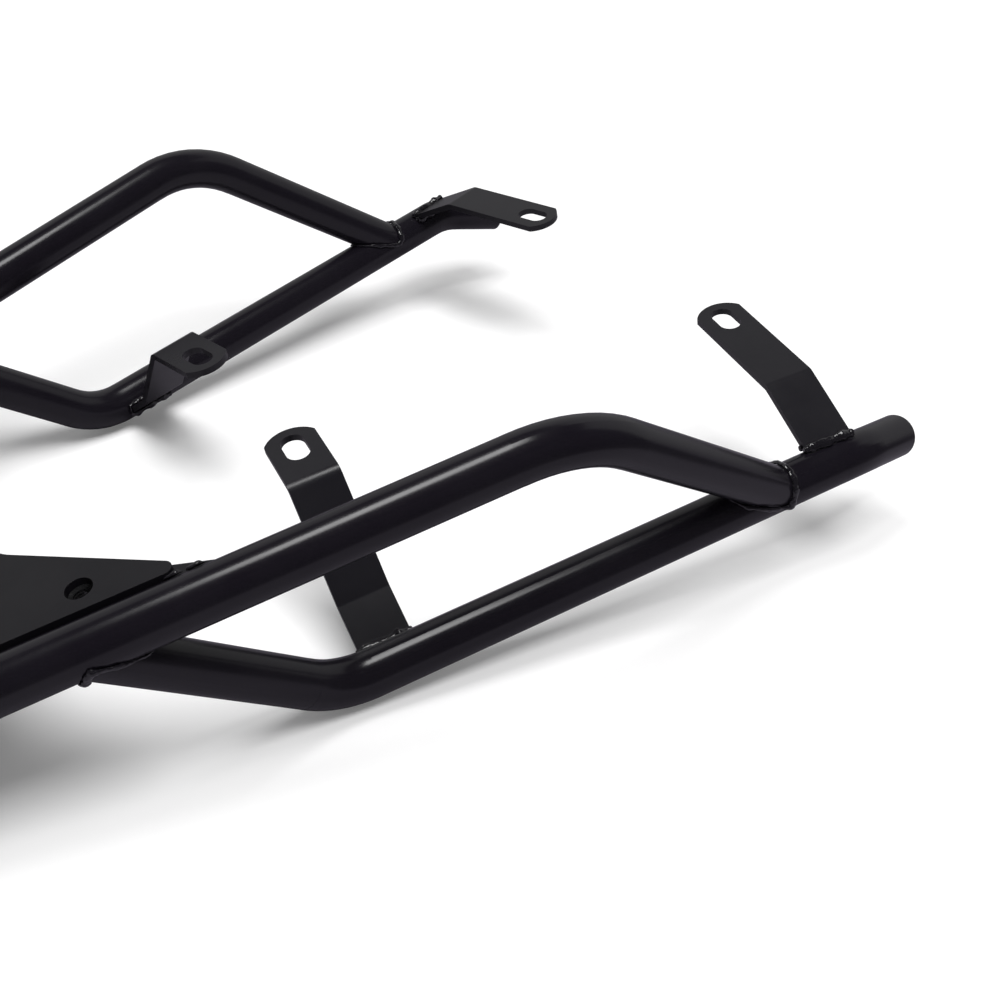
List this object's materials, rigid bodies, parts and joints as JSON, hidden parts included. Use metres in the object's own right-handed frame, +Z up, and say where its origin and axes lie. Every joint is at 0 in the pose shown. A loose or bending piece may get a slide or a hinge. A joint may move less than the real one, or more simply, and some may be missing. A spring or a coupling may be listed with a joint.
{
  "type": "motorcycle luggage rack",
  "caption": "Black tubular luggage rack: a bent hoop with two lower rails, folded fixing straps with slots, and a flat carrier plate with a notched front edge.",
  "frame": {"origin": "middle of the bounding box at floor level, in the middle plane, with the rack standing on the elbows of its lower rails and on its tail", "axes": "+X to the front of the machine, +Y to its left, +Z up; the plane Y = 0 is the plane of symmetry"},
  "size_m": [0.6335, 0.3366, 0.1189],
  "materials": {
    "tube": "black powder coat, semi-gloss, on steel tube",
    "strap": "black powder coat, satin, on folded steel strip",
    "plate": "black powder coat, satin, on steel sheet",
    "weld_nut": "dark plated steel, partly coated",
    "weld_bead": "rippled weld bead under glossy black powder coat"
  },
  "bodies": {
    "root": {"main_hoop": "tube", "lower_rail_left": "tube", "lower_rail_right": "tube", "end_cap_left": "tube", "end_cap_right": "tube", "front_strap_left": "strap", "front_strap_right": "strap", "rear_strap_left": "strap", "rear_strap_right": "strap", "carrier_plate": "plate", "plate_lug_front_left": "plate", "plate_lug_front_right": "plate", "plate_lug_rear_left": "plate", "plate_lug_rear_right": "plate", "weld_nut_front_left": "weld_nut", "weld_nut_front_right": "weld_nut", "weld_nut_rear_left": "weld_nut", "weld_nut_rear_right": "weld_nut", "hoop_foot_weld_left": "weld_bead", "hoop_foot_weld_right": "weld_bead", "rear_joint_weld_left": "weld_bead", "rear_joint_weld_right": "weld_bead", "front_strap_weld_left": "weld_bead", "front_strap_weld_right": "weld_bead", "rear_strap_weld_left": "weld_bead", "rear_strap_weld_right": "weld_bead", "lug_weld_front_left": "weld_bead", "lug_weld_front_right": "weld_bead", "lug_weld_rear_left": "weld_bead", "lug_weld_rear_right": "weld_bead"}
  },
  "joints": []
}
